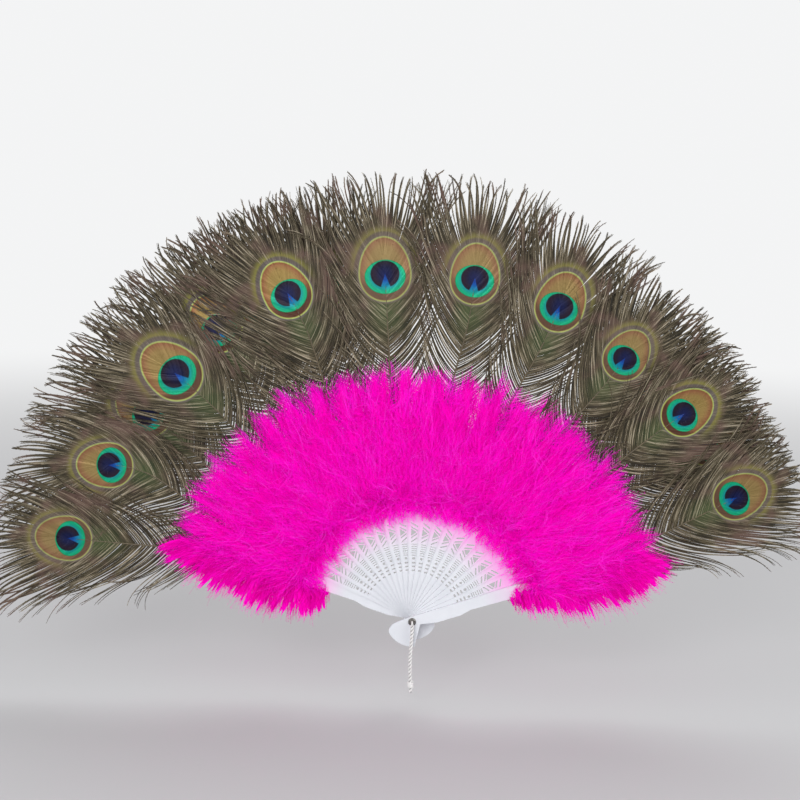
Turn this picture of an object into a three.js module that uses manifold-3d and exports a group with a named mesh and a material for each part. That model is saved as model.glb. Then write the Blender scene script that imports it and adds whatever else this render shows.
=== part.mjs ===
// A folding feather fan, spread fully open. Pierced plastic sticks turn on one rivet, every stick carries
// a marabou plume, and peacock eye feathers stand above the plumes. Millimetres, +Z up. The fan faces -Y,
// and its origin is on the rivet's axis, halfway through the stack of sticks.
import * as THREE from "three";
import { mergeVertices } from "three/addons/utils/BufferGeometryUtils.js";
import Module from "manifold-3d";

const DEG = Math.PI / 180;

// The whole fan
const STICK_COUNT = 21; // a guard at each end, plain sticks between them
const OPEN_ANGLE = 143.1 * DEG; // between the two guards
const CLEARANCE = 0.3; // between pieces that touch or slide on each other

// A stick: a round head on the rivet, a solid shank, a pierced blade and a finger that carries the plume
const STICK_THICKNESS = 0.8;
const HEAD_RADIUS = 4.6;
const SHANK_LENGTH = 48;
const SHANK_HALF_WIDTH = 4.6;
const BLADE_HALF_WIDTH = 7;
const SHOULDER_LENGTH = 7;
const FINGER_LENGTH = 78;
const FINGER_HALF_WIDTH = 2.6;
const FINGER_TIP_HALF_WIDTH = 1.6;

// The fretwork of a blade, from the shank outwards: pips, a round dot, a comb and a chevron
const FRET_EDGE = 3.1; // solid rim along each side of the blade
const FRET_WEB = 1.1; // plastic left between two openings
const FRET_MARGIN = 5; // plain end of the blade, past the chevron
const PIP_COUNT = 3;
const PIP_HEIGHT = 1.7;
const PIP_WEB = 2.2;
const DOT_RADIUS = 1.5;
const DOT_SIDES = 8;
const COMB_COUNT = 6;
const COMB_HEIGHT = 0.95;
const COMB_WEB = 1.3;
const BAR_COUNT = 2; // slanted openings on each side of the gusset
const BAR_HEIGHT = 1.7;
const BAR_WEB = 2.6;
const BAR_RISE = 2.1; // from the middle of a bar to its end
const FLIPPED_STICKS = [14, 15, 16, 17, 18]; // strung with the other face to the front

// A guard: a plain thick blade with a fishtail below the rivet
const GUARD_THICKNESS = 2;
const GUARD_BELLY_HALF_WIDTH = 8; // of its outer edge, between the tail and the waist
const GUARD_WAIST_RADIUS = 60;
const GUARD_WAIST_HALF_WIDTH = 5.4;
const GUARD_END_HALF_WIDTH = 6.3;
const GUARD_SHOULDER_LENGTH = 20;
const GUARD_NECK_HALF_WIDTH = 5;
const TAIL_LENGTH = 25.5;
const TAIL_WIDTH = 25;
const TAIL_HEEL = 5.3; // from the rivet up to where the tail leaves the blade
const GUARD_CURVE_STEPS = 7;

// The rivet, with a wire eye on its front head
const PIN_RADIUS = 1.7;
const PIN_HOLE_RADIUS = 2.2;
const PIN_HOLE_SIDES = 8;
const RIVET_HEAD_RADIUS = 4;
const RIVET_HEAD_RIM = 0.7;
const RIVET_HEAD_DOME = 1;
const RIVET_SIDES = 16;
const EYE_RADIUS = 2.4;
const EYE_WIRE_RADIUS = 0.6;
const EYE_SINK = 0.5; // how deep the eye's wire sits in the head

// The cord that hangs from the eye, as a plain tube with a knot near its end
const CORD_DIAMETER = 3.4;
const CORD_SIDES = 8;
const CORD_STEPS = 12;
const CORD_DROPS = [0, 8, 17, 27, 37, 47, 56, 64, 70]; // below the eye
const CORD_DRIFTS = [0, 0, -0.3, -0.8, -1.2, -1.1, -0.6, 0, 0.3]; // to the fan's right
const KNOT_DROP = 62;
const KNOT_RADIUS = 3.2;
const KNOT_HALF_HEIGHT = 3.6;

// A marabou plume, as a plain swollen solid round its stick's finger
const PLUME_GAP = 1; // from the blade's shoulder to the plume
const PLUME_REACH = 258; // from the rivet to the plume's tip
const PLUME_RAGGED = 5; // how far the tips differ
const PLUME_FRONT_DEPTH = 15;
const PLUME_BACK_DEPTH = 13;
const PLUME_SIDES = 8;
const REAR_DROOP = 44; // fluff that hangs outside each guard
const FRONT_DROOP = 54;

// A peacock eye feather, as a thin plate: a quill, then a vane with a ragged edge
const FEATHER_THICKNESS = 0.8;
const QUILL_HALF_WIDTH = 1.1;
const QUILL_TIP_HALF_WIDTH = 0.7;
const VANE_HALF_WIDTH = 58;
const VANE_TEETH = 7; // barb clumps along each side
const VANE_NOTCH = 15;
const TIP_REACH = 446; // from the rivet to the tips of the feathers at the top
const TIP_SHARES = [0.968, 1, 1, 0.93, 0.928]; // of that reach, evenly from the rear guard to the front guard
const EYE_DISTANCE = 348; // from the rivet to the middle of a feather's eye
const EYE_FEATHERS = [
  // The stick that carries it, its lean to the fan's right in degrees, and its share of the eye distance
  { stick: 0, lean: -6.8, eye: 1.029 },
  { stick: 1, lean: -0.1, eye: 0.986 },
  { stick: 2, lean: 3.8, eye: 0.975 },
  { stick: 4, lean: -2, eye: 0.989 },
  { stick: 5, lean: 1, eye: 1.015 },
  { stick: 6, lean: 2.2, eye: 1 },
  { stick: 7, lean: -0.5, eye: 1.011 },
  { stick: 8, lean: -2.3, eye: 1.001 },
  { stick: 9, lean: 1.3, eye: 1.006 },
  { stick: 11, lean: 1.5, eye: 1.006 },
  { stick: 13, lean: 1.6, eye: 1.003 },
  { stick: 15, lean: 1, eye: 0.974 },
  { stick: 16, lean: 1, eye: 0.966 },
  { stick: 17, lean: 0.4, eye: 0.983 },
  { stick: 18, lean: -0.1, eye: 0.987 },
  { stick: STICK_COUNT - 1, lean: -4.6, eye: 0.997 },
];

// Values that follow from the sizes above
const LAST_STICK = STICK_COUNT - 1;
const STEP_ANGLE = OPEN_ANGLE / LAST_STICK;
const LAYER_PITCH = STICK_THICKNESS + CLEARANCE;
const GUARD_OFFSET = (LAST_STICK / 2) * LAYER_PITCH + (GUARD_THICKNESS - STICK_THICKNESS) / 2;
const STACK_HALF = GUARD_OFFSET + GUARD_THICKNESS / 2;
const PIP_PITCH = PIP_HEIGHT + PIP_WEB;
const COMB_PITCH = COMB_HEIGHT + COMB_WEB;
const BAR_PITCH = BAR_HEIGHT + BAR_WEB;
const FIRST_PIP = SHANK_LENGTH + FRET_WEB + PIP_HEIGHT / 2;
const DOT_CENTRE = FIRST_PIP + PIP_COUNT * PIP_PITCH - PIP_HEIGHT / 2 + DOT_RADIUS;
const FIRST_COMB = DOT_CENTRE + DOT_RADIUS + COMB_WEB + COMB_HEIGHT / 2;
const COMB_END = FIRST_COMB + (COMB_COUNT - 1) * COMB_PITCH + COMB_HEIGHT / 2;
const FIRST_BAR = COMB_END + FRET_WEB + BAR_RISE + BAR_HEIGHT / 2;
const LAST_LOW_BAR = FIRST_BAR + (BAR_COUNT - 1) * BAR_PITCH;
const GUSSET_CENTRE = LAST_LOW_BAR + BAR_RISE + (BAR_HEIGHT + FRET_WEB) / 2;
const GUSSET_HALF_HEIGHT = GUSSET_CENTRE - LAST_LOW_BAR + BAR_RISE - BAR_HEIGHT / 2 - FRET_WEB;
const FRET_END = 2 * GUSSET_CENTRE - FIRST_BAR + BAR_RISE + BAR_HEIGHT / 2;
const BLADE_END = FRET_END + FRET_MARGIN;
const FINGER_START = BLADE_END + SHOULDER_LENGTH;
const GUARD_FINGER_START = BLADE_END + GUARD_SHOULDER_LENGTH;
const FINGER_END = FINGER_START + FINGER_LENGTH;
const QUILL_START = FINGER_END + CLEARANCE;
const VANE_START = PLUME_REACH + PLUME_RAGGED + CLEARANCE - QUILL_START;

const wasm = await Module();
wasm.setup();

const materials = {
  plastic: { color: 0xe4e6ee, roughness: 0.35, metalness: 0 },
  marabou: { color: 0xf2049f, roughness: 0.9, metalness: 0 },
  peacock: { color: 0x6a6350, roughness: 0.7, metalness: 0 },
  metal: { color: 0x77777a, roughness: 0.35, metalness: 1 },
  cord: { color: 0xf1f1f3, roughness: 0.85, metalness: 0 },
};

function named(name, geometry, material) {
  const mesh = new THREE.Mesh(geometry, new THREE.MeshStandardMaterial(materials[material]));
  mesh.name = name;
  return mesh;
}

function bareGeometry(geometry) {
  const bare = geometry.clone();
  bare.deleteAttribute("normal");
  bare.deleteAttribute("uv");
  return mergeVertices(bare, 1e-4);
}

function toSolid(geometry) {
  const bare = bareGeometry(geometry);
  const vertProperties = new Float32Array(bare.attributes.position.array);
  const triVerts = new Uint32Array(bare.index.array);
  return new wasm.Manifold(new wasm.Mesh({ numProp: 3, vertProperties, triVerts }));
}

function toGeometry(solid) {
  const mesh = solid.getMesh();
  const geometry = new THREE.BufferGeometry();
  geometry.setAttribute("position", new THREE.BufferAttribute(mesh.vertProperties, 3));
  geometry.setIndex(new THREE.BufferAttribute(mesh.triVerts, 1));
  geometry.computeVertexNormals();
  return geometry;
}

// A flat plate from an outline drawn with X across the stick and Y away from the rivet. It stands in the
// X-Z plane, with half its thickness on each side.
function plate(shape, thickness, curveSegments = 4) {
  const geometry = new THREE.ExtrudeGeometry(shape, { depth: thickness, bevelEnabled: false, curveSegments });
  geometry.rotateX(Math.PI / 2);
  geometry.translate(0, thickness / 2, 0);
  return geometry;
}

function polygonPath(points) {
  const path = new THREE.Path();
  path.setFromPoints(points.map(([x, y]) => new THREE.Vector2(x, y)));
  path.closePath();
  return path;
}

function roundPath(x, y, radius, sides) {
  const points = [];
  for (let i = 0; i < sides; i += 1) {
    const angle = (2 * Math.PI * i) / sides;
    points.push([x + radius * Math.cos(angle), y + radius * Math.sin(angle)]);
  }
  return polygonPath(points);
}

// Half the width of a plain stick's blade at a distance from the rivet
function bladeHalfWidth(radius) {
  const share = (radius - SHANK_LENGTH) / (BLADE_END - SHANK_LENGTH);
  return THREE.MathUtils.lerp(SHANK_HALF_WIDTH, BLADE_HALF_WIDTH, THREE.MathUtils.clamp(share, 0, 1));
}

function fretHalfWidth(radius) {
  return bladeHalfWidth(radius) - FRET_EDGE;
}

// An opening across the blade whose right end lies higher than its left end by twice the rise
function slantedPath(radius, height, rise) {
  const half = fretHalfWidth(radius);
  return polygonPath([
    [-half, radius - rise - height / 2],
    [half, radius + rise - height / 2],
    [half, radius + rise + height / 2],
    [-half, radius - rise + height / 2],
  ]);
}

function fretwork() {
  const paths = [];
  for (let i = 0; i < PIP_COUNT; i += 1) {
    paths.push(slantedPath(FIRST_PIP + i * PIP_PITCH, PIP_HEIGHT, 0));
  }
  paths.push(roundPath(0, DOT_CENTRE, DOT_RADIUS, DOT_SIDES));
  for (let i = 0; i < COMB_COUNT; i += 1) {
    paths.push(slantedPath(FIRST_COMB + i * COMB_PITCH, COMB_HEIGHT, 0));
  }
  for (let i = 0; i < BAR_COUNT; i += 1) {
    const lowBar = FIRST_BAR + i * BAR_PITCH;
    paths.push(slantedPath(lowBar, BAR_HEIGHT, BAR_RISE));
    paths.push(slantedPath(2 * GUSSET_CENTRE - lowBar, BAR_HEIGHT, -BAR_RISE));
  }
  const half = fretHalfWidth(GUSSET_CENTRE);
  paths.push(
    polygonPath([
      [-half, GUSSET_CENTRE - GUSSET_HALF_HEIGHT],
      [half * (GUSSET_HALF_HEIGHT / BAR_RISE - 1), GUSSET_CENTRE],
      [-half, GUSSET_CENTRE + GUSSET_HALF_HEIGHT],
    ]),
  );
  return paths;
}

// The blade's shoulder and finger, from the right edge of the blade over the finger's tip to the left edge
function drawFinger(shape, edgeHalfWidth, fingerStart) {
  const shoulderMiddle = (BLADE_END + fingerStart) / 2;
  shape.quadraticCurveTo(edgeHalfWidth, shoulderMiddle, FINGER_HALF_WIDTH, fingerStart);
  shape.lineTo(FINGER_TIP_HALF_WIDTH, FINGER_END);
  shape.lineTo(-FINGER_TIP_HALF_WIDTH, FINGER_END);
  shape.lineTo(-FINGER_HALF_WIDTH, fingerStart);
  shape.quadraticCurveTo(-edgeHalfWidth, shoulderMiddle, -edgeHalfWidth, BLADE_END);
}

function stickGeometry(flipped) {
  const shape = new THREE.Shape();
  const headEdge = Math.min(SHANK_HALF_WIDTH, HEAD_RADIUS);
  const headAngle = Math.acos(headEdge / HEAD_RADIUS);
  shape.moveTo(SHANK_HALF_WIDTH, SHANK_LENGTH);
  shape.lineTo(BLADE_HALF_WIDTH, BLADE_END);
  drawFinger(shape, BLADE_HALF_WIDTH, FINGER_START);
  shape.lineTo(-SHANK_HALF_WIDTH, SHANK_LENGTH);
  shape.absarc(0, 0, HEAD_RADIUS, Math.PI - headAngle, 2 * Math.PI + headAngle, false);
  shape.closePath();
  shape.holes.push(roundPath(0, 0, PIN_HOLE_RADIUS, PIN_HOLE_SIDES), ...fretwork());
  const geometry = plate(shape, STICK_THICKNESS);
  return flipped ? geometry.rotateZ(Math.PI) : geometry;
}

// The front guard, whose tail swings out to the right of its blade. The rear guard is its mirror image.
function guardGeometry(mirrored) {
  const shape = new THREE.Shape();
  shape.moveTo(GUARD_WAIST_HALF_WIDTH, GUARD_WAIST_RADIUS);
  shape.lineTo(GUARD_END_HALF_WIDTH, BLADE_END);
  drawFinger(shape, GUARD_END_HALF_WIDTH, GUARD_FINGER_START);
  shape.lineTo(-GUARD_WAIST_HALF_WIDTH, GUARD_WAIST_RADIUS);
  shape.lineTo(-GUARD_NECK_HALF_WIDTH, TAIL_HEEL);
  shape.quadraticCurveTo(-GUARD_NECK_HALF_WIDTH, -TAIL_LENGTH / 2, -TAIL_WIDTH / 9, -TAIL_LENGTH * 0.8);
  shape.quadraticCurveTo(0, -TAIL_LENGTH, TAIL_WIDTH / 6, -TAIL_LENGTH);
  shape.bezierCurveTo(
    TAIL_WIDTH * 0.55,
    -TAIL_LENGTH * 0.95,
    TAIL_WIDTH * 0.95,
    -TAIL_LENGTH * 0.6,
    TAIL_WIDTH,
    -TAIL_LENGTH * 0.2,
  );
  shape.lineTo(GUARD_NECK_HALF_WIDTH, TAIL_HEEL + GUARD_NECK_HALF_WIDTH / 3);
  shape.lineTo(GUARD_BELLY_HALF_WIDTH, GUARD_WAIST_RADIUS * 0.4);
  shape.lineTo(GUARD_BELLY_HALF_WIDTH, GUARD_WAIST_RADIUS * 0.8);
  shape.closePath();
  shape.holes.push(roundPath(0, 0, PIN_HOLE_RADIUS, PIN_HOLE_SIDES));
  const geometry = plate(shape, GUARD_THICKNESS, GUARD_CURVE_STEPS);
  return mirrored ? geometry.rotateZ(Math.PI) : geometry;
}

// A turned profile about the Y axis of three.js, laid so that its start points to the front
function rivetGeometry() {
  const seat = STACK_HALF + CLEARANCE;
  const rim = seat + RIVET_HEAD_RIM;
  const crown = rim + RIVET_HEAD_DOME;
  const half = [
    new THREE.Vector2(PIN_RADIUS, -seat),
    new THREE.Vector2(RIVET_HEAD_RADIUS, -seat),
    new THREE.Vector2(RIVET_HEAD_RADIUS, -rim),
    new THREE.Vector2(RIVET_HEAD_RADIUS * 0.7, -rim - RIVET_HEAD_DOME * 0.7),
    new THREE.Vector2(0, -crown),
  ];
  const mirroredHalf = half.map((point) => new THREE.Vector2(point.x, -point.y));
  const profile = [...half].reverse().concat(mirroredHalf);
  const pin = toSolid(new THREE.LatheGeometry(profile, RIVET_SIDES));
  const ring = new THREE.TorusGeometry(EYE_RADIUS, EYE_WIRE_RADIUS, 6, RIVET_SIDES);
  ring.translate(0, -eyeCentre(), 0);
  return toGeometry(pin.add(toSolid(ring)));
}

// How far in front of the stack's middle the wire eye is centred
function eyeCentre() {
  const crown = STACK_HALF + CLEARANCE + RIVET_HEAD_RIM + RIVET_HEAD_DOME;
  return crown - EYE_SINK + EYE_RADIUS + EYE_WIRE_RADIUS;
}

function cordGeometry() {
  const front = -(eyeCentre() + EYE_RADIUS);
  const top = -(EYE_WIRE_RADIUS + CLEARANCE);
  const points = CORD_DROPS.map((drop, i) => new THREE.Vector3(CORD_DRIFTS[i], front, top - drop));
  const section = new THREE.Shape();
  section.setFromPoints(roundPath(0, 0, CORD_DIAMETER / 2, CORD_SIDES).getPoints());
  const tube = new THREE.ExtrudeGeometry(section, {
    steps: CORD_STEPS,
    extrudePath: new THREE.CatmullRomCurve3(points),
  });
  const knot = new THREE.SphereGeometry(1, CORD_SIDES, CORD_SIDES / 2);
  knot.rotateX(Math.PI / 2);
  knot.scale(KNOT_RADIUS, KNOT_RADIUS, KNOT_HALF_HEIGHT);
  knot.translate(0, front, top - KNOT_DROP);
  return toGeometry(toSolid(tube).add(toSolid(knot)));
}

// A closed skin over rings of equally many points, with a flat cap on the first and the last ring
function loft(rings) {
  const sides = rings[0].length;
  const positions = rings.flat().flatMap((point) => [point.x, point.y, point.z]);
  const index = [];
  for (let ring = 0; ring < rings.length - 1; ring += 1) {
    for (let side = 0; side < sides; side += 1) {
      const a = ring * sides + side;
      const b = ring * sides + ((side + 1) % sides);
      index.push(a, b, b + sides, a, b + sides, a + sides);
    }
  }
  const last = (rings.length - 1) * sides;
  for (let side = 1; side < sides - 1; side += 1) {
    index.push(0, side + 1, side);
    index.push(last, last + side, last + side + 1);
  }
  const geometry = new THREE.BufferGeometry();
  geometry.setAttribute("position", new THREE.Float32BufferAttribute(positions, 3));
  geometry.setIndex(index);
  return geometry;
}

// How a plume swells from its base to its tip: share of its length, of its width and of its depth
const PLUME_STATIONS = [
  [0, 0.7, 0.4],
  [0.1, 1, 0.75],
  [0.3, 1, 1],
  [0.6, 1, 1],
  [0.84, 1, 0.75],
  [0.95, 0.8, 0.5],
  [1, 0.35, 0.3],
];
// The fluff that hangs outside a guard, as a share of its droop at the same stations
const DROOP_SHARES = [0.3, 0.85, 1, 0.85, 0.6, 0.4, 0.15];

function plumeReach(stick) {
  return PLUME_REACH + PLUME_RAGGED * Math.sin(2.4 * stick);
}

function plumeGeometry(stick, feather, thickness, fingerStart) {
  const start = fingerStart + PLUME_GAP;
  const length = plumeReach(stick) - start;
  const rings = PLUME_STATIONS.map(([share, width, depth], station) => {
    const radius = start + length * share;
    const half = (radius * Math.tan(STEP_ANGLE / 2) - CLEARANCE / 2) * width;
    const left = stick === 0 ? half + REAR_DROOP * DROOP_SHARES[station] : half;
    const right = stick === LAST_STICK ? half + FRONT_DROOP * DROOP_SHARES[station] : half;
    const ring = [];
    for (let side = 0; side < PLUME_SIDES; side += 1) {
      const angle = (2 * Math.PI * side) / PLUME_SIDES;
      const across = Math.cos(angle);
      const out = Math.sin(angle);
      const x = across < 0 ? across * left : across * right;
      const y = out < 0 ? out * PLUME_FRONT_DEPTH * depth : out * PLUME_BACK_DEPTH * depth;
      ring.push(new THREE.Vector3(x, y, radius));
    }
    return ring;
  });
  let plume = toSolid(loft(rings));
  plume = plume.subtract(toSolid(fingerPocket(thickness, fingerStart)));
  if (feather) {
    plume = plume.subtract(toSolid(quillPocket(feather)));
  }
  return toGeometry(plume);
}

// The room that a plume leaves round its finger, and round the quill of its feather
function fingerPocket(thickness, fingerStart) {
  const shape = new THREE.Shape();
  const end = FINGER_END + CLEARANCE / 2;
  shape.moveTo(FINGER_HALF_WIDTH + CLEARANCE, fingerStart);
  shape.lineTo(FINGER_TIP_HALF_WIDTH + CLEARANCE, end);
  shape.lineTo(-FINGER_TIP_HALF_WIDTH - CLEARANCE, end);
  shape.lineTo(-FINGER_HALF_WIDTH - CLEARANCE, fingerStart);
  shape.closePath();
  return plate(shape, thickness + 2 * CLEARANCE);
}

function quillPocket(feather) {
  const shape = new THREE.Shape();
  const half = QUILL_HALF_WIDTH + CLEARANCE;
  shape.moveTo(half, -CLEARANCE);
  shape.lineTo(half, VANE_START + CLEARANCE);
  shape.lineTo(-half, VANE_START + CLEARANCE);
  shape.lineTo(-half, -CLEARANCE);
  shape.closePath();
  const pocket = plate(shape, FEATHER_THICKNESS + 2 * CLEARANCE);
  pocket.rotateY(quillAngle(feather));
  pocket.translate(0, 0, QUILL_START);
  return pocket;
}

// The quill leaves the finger's tip at the angle that brings the eye to its place
function quillAngle({ lean, eye }) {
  const distance = EYE_DISTANCE * eye;
  return Math.atan2(distance * Math.sin(lean * DEG), distance * Math.cos(lean * DEG) - QUILL_START);
}

// How far from the rivet the tip of a stick's feather is
function tipReach(stick) {
  const place = (stick / LAST_STICK) * (TIP_SHARES.length - 1);
  const low = Math.min(Math.floor(place), TIP_SHARES.length - 2);
  return TIP_REACH * THREE.MathUtils.lerp(TIP_SHARES[low], TIP_SHARES[low + 1], place - low);
}

// Half the vane's width at a share of its length: narrow at the quill, blunt at the tip
function vaneHalfWidth(share) {
  return QUILL_HALF_WIDTH + VANE_HALF_WIDTH * Math.sin(Math.PI * share ** 1.15) ** 0.6;
}

function featherGeometry(feather) {
  const length = tipReach(feather.stick) - QUILL_START;
  const vaneLength = length - VANE_START;
  const side = [];
  for (let i = 0; i < 2 * VANE_TEETH; i += 1) {
    const share = (i + 0.5) / (2 * VANE_TEETH);
    const notch = i % 2 === 0 ? VANE_NOTCH * Math.sin(Math.PI * share) : 0;
    side.push([vaneHalfWidth(share) - notch / 2, VANE_START + vaneLength * share - notch]);
  }
  const shape = new THREE.Shape();
  shape.moveTo(QUILL_HALF_WIDTH, 0);
  shape.lineTo(QUILL_HALF_WIDTH, VANE_START);
  side.forEach(([x, y]) => shape.lineTo(x, y));
  shape.lineTo(QUILL_TIP_HALF_WIDTH, length);
  shape.lineTo(-QUILL_TIP_HALF_WIDTH, length);
  [...side].reverse().forEach(([x, y]) => shape.lineTo(-x, y));
  shape.lineTo(-QUILL_HALF_WIDTH, VANE_START);
  shape.lineTo(-QUILL_HALF_WIDTH, 0);
  shape.closePath();
  return plate(shape, FEATHER_THICKNESS);
}

function twoDigits(stick) {
  return String(stick).padStart(2, "0");
}

// One stick with its plume and feather, turned to its place in the open fan and set in its own layer
function fanLeaf(stick) {
  const leaf = new THREE.Group();
  const digits = twoDigits(stick);
  const feather = EYE_FEATHERS.find((entry) => entry.stick === stick);
  const middle = LAST_STICK / 2;
  const isGuard = stick === 0 || stick === LAST_STICK;
  if (isGuard) {
    const name = stick === 0 ? "rear_guard" : "front_guard";
    leaf.add(named(name, guardGeometry(stick === 0), "plastic"));
  } else {
    leaf.add(named(`stick_${digits}`, stickGeometry(FLIPPED_STICKS.includes(stick)), "plastic"));
  }
  const thickness = isGuard ? GUARD_THICKNESS : STICK_THICKNESS;
  const fingerStart = isGuard ? GUARD_FINGER_START : FINGER_START;
  const fluff = plumeGeometry(stick, feather, thickness, fingerStart);
  leaf.add(named(`marabou_plume_${digits}`, fluff, "marabou"));
  if (feather) {
    const plume = named(`peacock_feather_${digits}`, featherGeometry(feather), "peacock");
    plume.position.z = QUILL_START;
    plume.rotation.y = quillAngle(feather);
    leaf.add(plume);
  }
  leaf.rotation.y = (stick - middle) * STEP_ANGLE;
  leaf.position.y = isGuard ? Math.sign(middle - stick) * GUARD_OFFSET : (middle - stick) * LAYER_PITCH;
  return leaf;
}

const fan = new THREE.Group();
for (let stick = 0; stick < STICK_COUNT; stick += 1) {
  fan.add(fanLeaf(stick));
}
fan.add(named("pivot_rivet", rivetGeometry(), "metal"));
fan.add(named("hanging_cord", cordGeometry(), "cord"));

export default fan;
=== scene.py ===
"""Looks of the feather fan: finishes, down, eye feathers, cord, light and camera."""
import math

import bpy
import numpy as np
from mathutils import Euler, Matrix, Vector

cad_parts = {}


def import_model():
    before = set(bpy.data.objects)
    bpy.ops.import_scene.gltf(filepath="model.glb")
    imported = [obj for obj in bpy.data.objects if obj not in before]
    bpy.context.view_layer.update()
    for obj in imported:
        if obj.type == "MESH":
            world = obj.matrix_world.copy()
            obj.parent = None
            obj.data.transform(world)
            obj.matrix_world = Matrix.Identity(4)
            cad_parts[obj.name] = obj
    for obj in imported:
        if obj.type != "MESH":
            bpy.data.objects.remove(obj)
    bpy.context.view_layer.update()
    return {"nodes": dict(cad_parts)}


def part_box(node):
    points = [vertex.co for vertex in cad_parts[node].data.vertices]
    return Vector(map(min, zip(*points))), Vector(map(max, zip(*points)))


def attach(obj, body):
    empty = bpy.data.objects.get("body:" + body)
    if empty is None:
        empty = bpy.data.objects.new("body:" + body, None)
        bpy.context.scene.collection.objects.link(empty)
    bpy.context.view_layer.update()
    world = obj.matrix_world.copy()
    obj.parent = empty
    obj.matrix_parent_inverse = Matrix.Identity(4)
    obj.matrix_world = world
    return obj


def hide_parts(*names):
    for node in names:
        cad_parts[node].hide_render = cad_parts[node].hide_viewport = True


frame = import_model()

MM = 0.001

# The fan's own frame: sticks turn about Y, 0 degrees is straight up, the front faces -Y
LAST_STICK = 20
OPEN_ANGLE = math.radians(143.1)
STEP_ANGLE = OPEN_ANGLE / LAST_STICK
QUILL_START = 190.2 * MM
DOWN_STARTS = (113 * MM, 125.5 * MM)  # on the rear guard and behind the front guard
GUARD_BARE = 129 * MM  # of the front guard's face
DOWN_REACH = 261 * MM
TIP_REACH = 446 * MM
TIP_SHARES = (  # of that reach, evenly from the rear guard to the front guard
    0.968, 0.992, 1.003, 0.988, 1.008, 0.978, 0.947, 0.92, 0.925,
)
EYE_DISTANCE = 348 * MM
EYE_FEATHERS = (
    # stick, lean in degrees, share of the eye distance, size of the eye, bend of the shaft in degrees
    (0, -6.8, 1.029, 0.90, 0), (1, -0.1, 0.986, 0.90, -26), (2, 3.8, 0.975, 0.95, -6),
    (4, -2.0, 0.989, 1.05, -5), (5, 1.0, 1.015, 0.95, 0), (6, 2.2, 1.0, 0.92, -4),
    (7, -0.5, 1.011, 0.93, -10), (8, -2.3, 1.001, 0.90, 0), (9, 1.3, 1.006, 1.00, 0),
    (11, 1.5, 1.006, 0.95, -7), (13, 1.6, 1.003, 0.95, -6), (15, 1.0, 0.974, 0.84, -5),
    (16, 1.0, 0.966, 0.85, 0), (17, 0.4, 0.983, 0.86, 3), (18, -0.1, 0.987, 0.80, 0),
    (20, -4.6, 0.997, 0.87, 0),
)


def leaf_body(stick):
    """The body that a stick's pieces ride on."""
    if stick == 0:
        return "rear_leaf"
    return "front_leaf" if stick == LAST_STICK else f"leaf_{stick:02d}"


def stick_node(stick):
    """The CAD node of a stick or guard."""
    if stick == 0:
        return "rear_guard"
    return "front_guard" if stick == LAST_STICK else f"stick_{stick:02d}"


def leaf_turn(stick):
    """A stick's angle from straight up, in the open fan."""
    return (stick - LAST_STICK / 2) * STEP_ANGLE


def tip_reach(stick):
    """How far from the rivet the tips of a stick's eye feather are."""
    return TIP_REACH * np.interp(stick / LAST_STICK, np.linspace(0, 1, len(TIP_SHARES)), TIP_SHARES)


def layer_depth(stick):
    """The middle of a stick's thickness, along Y."""
    low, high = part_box(stick_node(stick))
    return (low.y + high.y) / 2


def xyz(*coordinates):
    """Points or directions from their coordinates, of which some may be plain numbers."""
    return np.stack(np.broadcast_arrays(*coordinates), axis=-1)


def turned(points, angle):
    """Points turned about Y, from straight up towards +X."""
    c, s = np.cos(angle), np.sin(angle)
    x, y, z = points[..., 0], points[..., 1], points[..., 2]
    return xyz(x * c + z * s, y, z * c - x * s)


def to_fan(points, stick):
    """From a leaf's frame (across, depth, outwards) to the fan's."""
    return turned(points, leaf_turn(stick)) + np.array([0, layer_depth(stick), 0])


def unit(vectors):
    """The vectors at length 1."""
    return vectors / np.maximum(np.linalg.norm(vectors, axis=-1, keepdims=True), 1e-12)


# Mesh helpers

def mesh_object(name, vertices, faces, material, **maps):
    """A mesh; a face whose last corner is -1 is a triangle, and maps are UV pairs per vertex."""
    mesh = bpy.data.meshes.new(name)
    mesh.vertices.add(len(vertices))
    mesh.vertices.foreach_set("co", np.asarray(vertices, np.float32).ravel())
    faces = np.asarray(faces, np.int32)
    loops = faces[faces >= 0]
    corners = (faces >= 0).sum(axis=1)
    mesh.loops.add(len(loops))
    mesh.loops.foreach_set("vertex_index", loops)
    mesh.polygons.add(len(faces))
    mesh.polygons.foreach_set("loop_start", (np.cumsum(corners) - corners).astype(np.int32))
    mesh.polygons.foreach_set("use_smooth", np.ones(len(faces), bool))
    for map_name, uv in maps.items():
        layer = mesh.uv_layers.new(name=map_name)
        layer.data.foreach_set("uv", np.asarray(uv, np.float32)[loops].ravel())
    mesh.update(calc_edges=True)
    mesh.materials.append(material)
    obj = bpy.data.objects.new(name, mesh)
    bpy.context.scene.collection.objects.link(obj)
    return obj


def strips(points, sides, widths):
    """Flat ribbons: points and sides are (ribbon, step, 3), widths is (ribbon, step)."""
    half = sides * (widths / 2)[..., None]
    corners = np.stack([points - half, points + half], axis=2)
    count, steps = points.shape[:2]
    index = np.arange(count * steps * 2).reshape(count, steps, 2)
    faces = np.stack(
        [index[:, :-1, 0], index[:, :-1, 1], index[:, 1:, 1], index[:, 1:, 0]], axis=-1
    )
    return corners, faces.reshape(-1, 4)


def hairs(bases, tips, widths, lean):
    """Fine triangles from base to tip, widths across at the base, which lie square to lean."""
    flat = unit(np.cross(tips - bases, lean)) * (widths / 2)[:, None]
    corners = np.stack([bases - flat, bases + flat, tips], axis=1)
    faces = np.full((len(bases), 4), -1)
    faces[:, :3] = np.arange(len(bases) * 3).reshape(-1, 3)
    return corners.reshape(-1, 3), faces


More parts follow.
